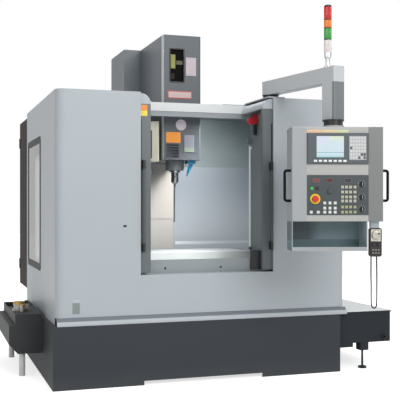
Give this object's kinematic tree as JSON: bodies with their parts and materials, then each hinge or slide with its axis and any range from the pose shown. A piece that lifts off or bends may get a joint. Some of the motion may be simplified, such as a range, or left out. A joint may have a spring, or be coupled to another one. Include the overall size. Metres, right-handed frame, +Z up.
{
  "type": "cnc machining center",
  "caption": "Vertical machining centre with a grey sheet enclosure, open sliding doors, cross table, tool changer, coolant tanks and a pendant on a swing arm.",
  "frame": {"origin": "centre of the bounding box's footprint, on the floor", "axes": "+X to the machine's right as its operator faces it, +Y into the machine, +Z up"},
  "size_m": [2.841, 3.1508, 2.604],
  "materials": {
    "panel_grey": "fine texture powder coat",
    "base_slate": "satin paint",
    "casting_grey": "painted casting",
    "column_grey": "painted casting",
    "jamb_dark": "satin paint",
    "guard_light": "satin paint",
    "header_white": "satin paint",
    "head_grey": "satin paint",
    "changer_cream": "satin paint",
    "rail_steel": "ground",
    "screw_steel": "polished",
    "tool_steel": "ground",
    "arm_steel": "satin",
    "table_steel": "ground",
    "motor_black": "matte",
    "window_glass": "clear",
    "door_glass": "clear",
    "tank_slate": "satin paint",
    "cabinet_dark": "satin paint",
    "arm_grey": "satin paint",
    "pendant_grey": "satin paint",
    "panel_dark": "fine grain",
    "display_grey": "fine grain",
    "key_grey": "matte",
    "knob_black": "satin",
    "stop_red": "gloss",
    "start_green": "gloss",
    "tower_lens": "gloss",
    "lamp_white": "gloss",
    "hose_blue": "satin",
    "cord_black": "matte",
    "pump_steel": "satin paint"
  },
  "bodies": {
    "frame": {"base_casting": "casting_grey", "base_skirt": "base_slate", "leveling_feet": "rail_steel", "column": "column_grey", "guide_rails": "rail_steel", "front_panel": "panel_grey", "side_panels": "panel_grey", "side_window": "window_glass", "rear_roof_panels": "panel_grey", "door_jambs": "jamb_dark", "door_header": "header_white", "inner_guards": "guard_light", "work_light": "lamp_white", "door_interlock": "motor_black", "electrical_cabinet": "cabinet_dark", "coolant_tank": "tank_slate", "chip_tank": "tank_slate", "coolant_pump": "pump_steel", "axis_motors": "motor_black", "atc_cam_box": "changer_cream", "arm_base": "motor_black"},
    "saddle_body": {"saddle": "casting_grey", "x_motor": "motor_black", "y_apron": "guard_light"},
    "table_body": {"table": "table_steel"},
    "head_body": {"head_casting": "column_grey", "head_cover": "head_grey", "spindle_motor": "motor_black", "coolant_nozzles": "hose_blue", "z_cover_upper": "guard_light"},
    "spindle_body": {"spindle": "tool_steel", "tool_holder": "tool_steel"},
    "x_screw_body": {"x_ballscrew": "screw_steel"},
    "y_screw_body": {"y_ballscrew": "screw_steel"},
    "z_screw_body": {"z_ballscrew": "screw_steel"},
    "changer_shaft_body": {"atc_shaft": "arm_steel"},
    "changer_arm_body": {"atc_arm": "arm_steel"},
    "magazine_body": {"tool_magazine": "changer_cream"},
    "left_door_body": {"left_door": "panel_grey", "left_door_glass": "door_glass"},
    "right_door_body": {"right_door": "panel_grey", "right_door_glass": "door_glass"},
    "cabinet_door_body": {"cabinet_door": "cabinet_dark"},
    "main_switch_body": {"main_switch": "stop_red"},
    "swing_arm_body": {"pendant_arm": "arm_grey", "signal_tower": "tower_lens"},
    "pendant_body": {"pendant_housing": "pendant_grey", "display_unit": "display_grey", "operator_panel": "panel_dark", "panel_keys": "key_grey", "pendant_handles": "knob_black", "handwheel_box": "panel_dark", "handwheel_cord": "cord_black"},
    "stop_body": {"emergency_stop": "stop_red"},
    "start_body": {"start_button": "start_green"},
    "hold_body": {"hold_button": "knob_black"},
    "feed_knob_body": {"feed_knob": "knob_black"},
    "spindle_knob_body": {"spindle_knob": "knob_black"},
    "mode_knob_body": {"mode_knob": "knob_black"},
    "dial_body": {"handwheel_dial": "knob_black"}
  },
  "joints": [
    {"name": "y_axis", "type": "slide", "parent": "frame", "child": "saddle_body", "axis": [0, 1, 0], "range_m": [-0.255, 0.255]},
    {"name": "x_axis", "type": "slide", "parent": "saddle_body", "child": "table_body", "axis": [1, 0, 0], "range_m": [-0.51, 0.51]},
    {"name": "z_axis", "type": "slide", "parent": "frame", "child": "head_body", "axis": [0, 0, 1], "range_m": [-0.5, 0]},
    {"name": "spindle_turn", "type": "hinge", "parent": "head_body", "child": "spindle_body", "pos_m": [-0.0655, 0.16444, 1.515], "axis": [0, 0, 1], "continuous": true},
    {"name": "x_screw_turn", "type": "hinge", "parent": "saddle_body", "child": "x_screw_body", "pos_m": [-0.0655, 0.16444, 0.76], "axis": [1, 0, 0], "range_deg": [-9200, 9200]},
    {"name": "y_screw_turn", "type": "hinge", "parent": "frame", "child": "y_screw_body", "pos_m": [-0.0655, 0.16444, 0.61], "axis": [0, 1, 0], "range_deg": [-4610, 4610]},
    {"name": "z_screw_turn", "type": "hinge", "parent": "frame", "child": "z_screw_body", "pos_m": [-0.0655, 0.70944, 1.5], "axis": [0, 0, 1], "range_deg": [-9020, 9020]},
    {"name": "changer_plunge", "type": "slide", "parent": "frame", "child": "changer_shaft_body", "axis": [0, 0, 1], "range_m": [-0.115, 0]},
    {"name": "changer_swing", "type": "hinge", "parent": "changer_shaft_body", "child": "changer_arm_body", "pos_m": [-0.3655, 0.16444, 1.499], "axis": [0, 0, 1], "range_deg": [0, 90]},
    {"name": "magazine_turn", "type": "hinge", "parent": "frame", "child": "magazine_body", "pos_m": [-0.9455, 0.28944, 1.65], "axis": [1, 0, 0], "continuous": true},
    {"name": "left_door_slide", "type": "slide", "parent": "frame", "child": "left_door_body", "axis": [1, 0, 0], "range_m": [0, 0.424]},
    {"name": "right_door_slide", "type": "slide", "parent": "frame", "child": "right_door_body", "axis": [-1, 0, 0], "range_m": [0, 0.424]},
    {"name": "cabinet_door_hinge", "type": "hinge", "parent": "frame", "child": "cabinet_door_body", "pos_m": [-1.1575, 1.53944, 0.53], "axis": [0, 0, 1], "range_deg": [0, 110]},
    {"name": "main_switch_turn", "type": "hinge", "parent": "cabinet_door_body", "child": "main_switch_body", "pos_m": [-0.5755, 1.53944, 1.7], "axis": [0, 1, 0], "range_deg": [0, 90]},
    {"name": "arm_swing", "type": "hinge", "parent": "frame", "child": "swing_arm_body", "pos_m": [0.4645, -0.57056, 2.072], "axis": [0, 0, 1], "range_deg": [-40, 60]},
    {"name": "pendant_turn", "type": "hinge", "parent": "swing_arm_body", "child": "pendant_body", "pos_m": [0.60248, -1.31068, 1.82], "axis": [0, 0, 1], "range_deg": [-45, 45]},
    {"name": "stop_press", "type": "slide", "parent": "pendant_body", "child": "stop_body", "axis": [-0.2756, -0.9613, 0], "range_m": [-0.006, 0], "stiffness_N_per_m": 1200},
    {"name": "start_press", "type": "slide", "parent": "pendant_body", "child": "start_body", "axis": [-0.2756, -0.9613, 0], "range_m": [-0.006, 0], "stiffness_N_per_m": 700},
    {"name": "hold_press", "type": "slide", "parent": "pendant_body", "child": "hold_body", "axis": [-0.2756, -0.9613, 0], "range_m": [-0.006, 0], "stiffness_N_per_m": 700},
    {"name": "feed_knob_turn", "type": "hinge", "parent": "pendant_body", "child": "feed_knob_body", "pos_m": [0.69046, -1.53356, 1.386], "axis": [-0.2756, -0.9613, 0], "range_deg": [-120, 120]},
    {"name": "spindle_knob_turn", "type": "hinge", "parent": "pendant_body", "child": "spindle_knob_body", "pos_m": [0.69046, -1.53356, 1.302], "axis": [-0.2756, -0.9613, 0], "range_deg": [-120, 120]},
    {"name": "mode_knob_turn", "type": "hinge", "parent": "pendant_body", "child": "mode_knob_body", "pos_m": [0.69046, -1.53356, 1.224], "axis": [-0.2756, -0.9613, 0], "range_deg": [-120, 120]},
    {"name": "handwheel_turn", "type": "hinge", "parent": "pendant_body", "child": "dial_body", "pos_m": [0.78549, -1.55041, 1.055], "axis": [-0.2756, -0.9613, 0], "continuous": true}
  ],
  "couplings": [
    {"joint": "x_screw_turn", "follows": "x_axis", "rad_per_m": 314.16},
    {"joint": "y_screw_turn", "follows": "y_axis", "rad_per_m": 314.16},
    {"joint": "z_screw_turn", "follows": "z_axis", "rad_per_m": 314.16}
  ]
}
